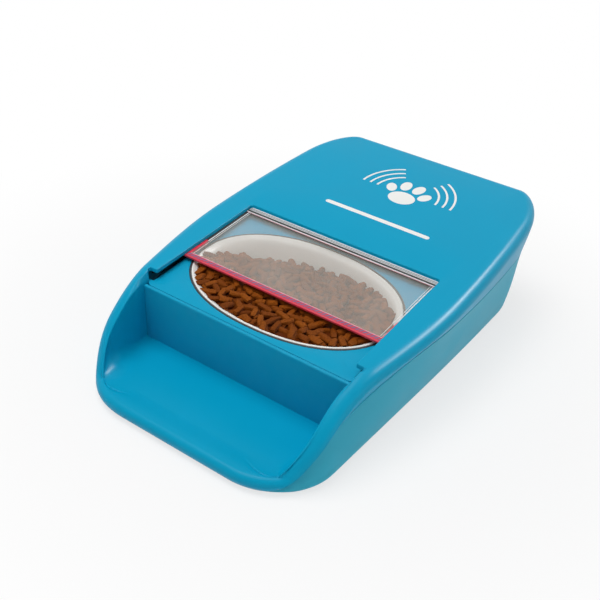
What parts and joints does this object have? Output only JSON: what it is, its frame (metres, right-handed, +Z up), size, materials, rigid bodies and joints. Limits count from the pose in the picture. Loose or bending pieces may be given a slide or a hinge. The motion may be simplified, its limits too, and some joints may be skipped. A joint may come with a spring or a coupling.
{
  "type": "microchip pet feeder",
  "caption": "Low wedge-shaped pet feeder: scoop tray in front, oval food bowl in the sloping deck, and a clear motor-driven lid that slides back under the deck.",
  "frame": {"origin": "on the floor, under the middle of the body (bottom centre of the box)", "axes": "Z up; Y along the body, with the scoop tray and the pet at -Y and the battery door at +Y; X across, with the side symmetry plane at X = 0"},
  "size_m": [0.2338, 0.357, 0.1013],
  "materials": {
    "body_plastic": "satin moulded plastic, saturated cyan blue",
    "base_plastic": "satin moulded plastic, the same cyan blue a shade paler",
    "bowl_white": "glossy white",
    "clear_plate": "clear polished acrylic",
    "pale_plastic": "satin off-white plastic",
    "red_rubber": "soft red seal",
    "black_rubber": "matte black rubber",
    "dark_plastic": "matte black plastic",
    "gear_plastic": "natural white acetal",
    "lamp_plastic": "translucent light pipe",
    "steel": "bright zinc-plated or drawn steel",
    "aluminium": "plain sheet",
    "brass": "turned",
    "board": "green solder mask",
    "coil": "enamelled copper wire bound in a flat loop",
    "cell": "plain sleeve",
    "lead_red": "soft insulation",
    "lead_grey": "soft insulation"
  },
  "bodies": {
    "housing": {"top_shell": "body_plastic", "base_shell": "base_plastic", "bowl_carrier": "body_plastic", "bowl_platform": "body_plastic", "bowl_gasket": "black_rubber", "bowl": "bowl_white", "rail_left": "dark_plastic", "rail_right": "dark_plastic", "wiper_holder": "pale_plastic", "wiper_blade": "black_rubber", "bush_left": "brass", "bush_right": "brass", "idler_axle": "steel", "motor": "steel", "gearbox_plate_inner": "aluminium", "gearbox_plate_outer": "aluminium", "gearbox_screws": "steel", "circuit_board": "board", "board_screws": "steel", "button_board": "board", "light_pipe": "lamp_plastic", "limit_switch_closed": "dark_plastic", "limit_switch_open": "dark_plastic", "antenna_coil": "coil", "battery_tray": "dark_plastic", "battery_1": "cell", "battery_2": "cell", "battery_3": "cell", "battery_4": "cell", "battery_springs": "steel", "door_pin": "steel", "foot_front_left": "black_rubber", "foot_front_right": "black_rubber", "foot_rear_left": "black_rubber", "foot_rear_right": "black_rubber", "shell_screws": "steel", "rail_screws": "steel", "carrier_screws": "steel", "motor_lead": "lead_red", "battery_lead": "lead_red", "antenna_lead": "lead_grey", "button_lead": "lead_grey"},
    "lid": {"lid_plate": "clear_plate", "lid_frame": "pale_plastic", "lid_seal": "red_rubber", "rack_left": "dark_plastic", "rack_right": "dark_plastic"},
    "shaft": {"drive_shaft": "steel", "pinion_left": "gear_plastic", "pinion_right": "gear_plastic", "shaft_gear": "gear_plastic"},
    "idler": {"idler_gear": "gear_plastic"},
    "motor_rotor": {"motor_pinion": "brass"},
    "learn_key": {"learn_button": "pale_plastic"},
    "lid_key": {"lid_button": "pale_plastic"},
    "door": {"battery_door": "base_plastic", "door_contacts": "steel"}
  },
  "joints": [
    {"name": "lid_slide", "type": "slide", "parent": "housing", "child": "lid", "axis": [0, 0.9934, 0.1151], "range_m": [-0.0395, 0.084]},
    {"name": "shaft_spin", "type": "hinge", "parent": "housing", "child": "shaft", "pos_m": [0, 0.02988, 0.06523], "axis": [1, 0, 0], "range_deg": [-605.6, 286.9]},
    {"name": "idler_spin", "type": "hinge", "parent": "housing", "child": "idler", "pos_m": [0.00006, 0.03847, 0.05367], "axis": [1, 0, 0], "range_deg": [-569.8, 1207.2]},
    {"name": "motor_spin", "type": "hinge", "parent": "housing", "child": "motor_rotor", "pos_m": [0.00006, 0.05403, 0.04997], "axis": [1, 0, 0], "range_deg": [-2811.5, 1324.2]},
    {"name": "learn_press", "type": "slide", "parent": "housing", "child": "learn_key", "axis": [0, -1, 0], "range_m": [0, 0.0012], "stiffness_N_per_m": 400},
    {"name": "lid_press", "type": "slide", "parent": "housing", "child": "lid_key", "axis": [0, -1, 0], "range_m": [0, 0.0012], "stiffness_N_per_m": 400},
    {"name": "door_hinge", "type": "hinge", "parent": "housing", "child": "door", "pos_m": [0, 0.1694, 0.0432], "axis": [1, 0, 0], "range_deg": [0, 95]}
  ],
  "couplings": [
    {"joint": "shaft_spin", "follows": "lid_slide", "rad_per_m": -125},
    {"joint": "idler_spin", "follows": "lid_slide", "rad_per_m": 250},
    {"joint": "motor_spin", "follows": "lid_slide", "rad_per_m": -583.33}
  ]
}
